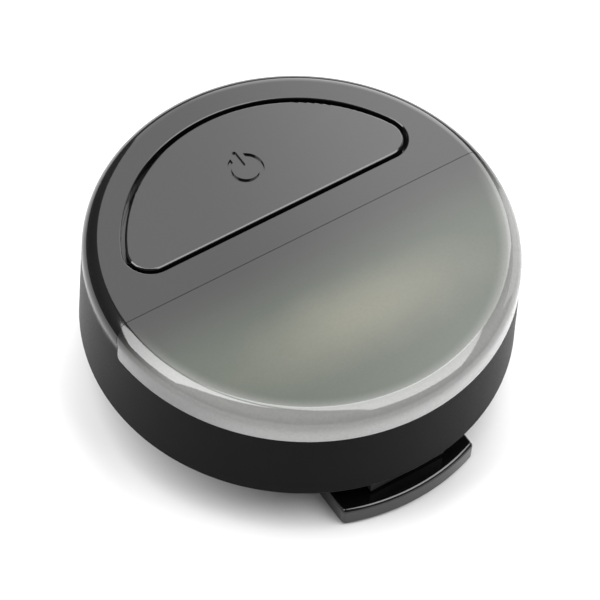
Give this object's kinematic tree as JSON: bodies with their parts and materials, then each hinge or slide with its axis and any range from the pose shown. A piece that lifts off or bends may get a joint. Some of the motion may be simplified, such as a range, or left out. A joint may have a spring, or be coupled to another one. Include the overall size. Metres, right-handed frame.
{
  "type": "clip on light",
  "caption": "Small round clip-on light: black puck with a half-moon button beside a smoked half lens, a USB charging port and a sprung clip behind.",
  "frame": {"origin": "on the puck's axis, in the clip's flat underside, on which the light lies", "axes": "+Z out of the front face, +X along the seam between front plate and lens, +Y from the lens towards the button and the charging port"},
  "size_m": [0.0446, 0.0446, 0.0186],
  "materials": {
    "housing_black": "injection-moulded black plastic, polished front plate and satin side wall",
    "lens_smoke": "smoked translucent plastic, polished outside and frosted inside",
    "button_black": "polished black plastic with a sunk power sign",
    "silicone_grey": "soft matte silicone",
    "cover_matte_black": "fine spark-textured black plastic",
    "grip_rubber": "matte dark rubber",
    "clip_black": "polished black plastic",
    "pin_steel": "ground steel",
    "spring_steel": "drawn spring wire",
    "screw_steel": "black-zinc plated steel",
    "port_rubber": "matte black rubber",
    "sheet_steel": "nickel-plated sheet steel",
    "socket_black": "black moulded socket block",
    "contact_gold": "gold-plated contacts",
    "board_white": "white solder mask on glass-fibre board",
    "reflector_white": "white diffuse moulding",
    "lamp_white": "white lamp package",
    "phosphor_yellow": "yellow phosphor gel",
    "chip_black": "black moulding compound",
    "inductor_grey": "grey ferrite shell",
    "passive_tan": "ceramic chip bodies with tinned ends",
    "cell_foil": "aluminium-laminate pouch",
    "foam_tape": "thin black foam tape",
    "film_amber": "amber polyimide film",
    "lead_red": "red wire insulation",
    "lead_black": "black wire insulation"
  },
  "bodies": {
    "housing": {"front_housing": "housing_black", "lens": "lens_smoke", "button_seal": "silicone_grey", "switch_case": "chip_black", "switch_retainer": "sheet_steel", "rear_cover": "cover_matte_black", "grip_pad": "grip_rubber", "cover_gasket": "silicone_grey", "cover_screws": "screw_steel", "hinge_pin": "pin_steel", "clip_spring": "spring_steel", "port_anchor": "port_rubber", "usb_shell": "sheet_steel", "usb_tongue": "socket_black", "usb_contacts": "contact_gold", "circuit_board": "board_white", "reflector": "reflector_white", "led_packages": "lamp_white", "led_phosphors": "phosphor_yellow", "microcontroller": "chip_black", "led_driver_chip": "chip_black", "charge_chip": "chip_black", "power_inductor": "inductor_grey", "chip_passives": "passive_tan", "battery_cell": "cell_foil", "battery_protection_board": "board_white", "battery_tape": "foam_tape", "insulating_film": "film_amber", "battery_lead_red": "lead_red", "battery_lead_black": "lead_black"},
    "button": {"button": "button_black"},
    "switch_plunger": {"switch_plunger": "chip_black"},
    "clip": {"clip_lever": "clip_black", "clip_spring_leg": "spring_steel"},
    "port_flap": {"port_flap": "port_rubber"}
  },
  "joints": [
    {"name": "button_press", "type": "slide", "parent": "housing", "child": "button", "axis": [0, 0, -1], "range_m": [0, 0.0004], "stiffness_N_per_m": 150, "springref_m": -0.002, "deforming": ["button_seal"]},
    {"name": "switch_plunger_travel", "type": "slide", "parent": "housing", "child": "switch_plunger", "axis": [0, 0, -1], "range_m": [0, 0.0004]},
    {"name": "clip_hinge", "type": "hinge", "parent": "housing", "child": "clip", "pos_m": [0, 0.007, 0.00425], "axis": [1, 0, 0], "range_deg": [0, 12], "stiffness_Nm_per_rad": 0.1, "springref_deg": -34.38},
    {"name": "port_flap_hinge", "type": "hinge", "parent": "housing", "child": "port_flap", "pos_m": [-0.00495, 0.0216, 0.01087], "axis": [0, 0, 1], "range_deg": [0, 100], "stiffness_Nm_per_rad": 0.0002, "springref_deg": -17.19}
  ],
  "couplings": [
    {"joint": "switch_plunger_travel", "follows": "button_press", "ratio": 1}
  ]
}
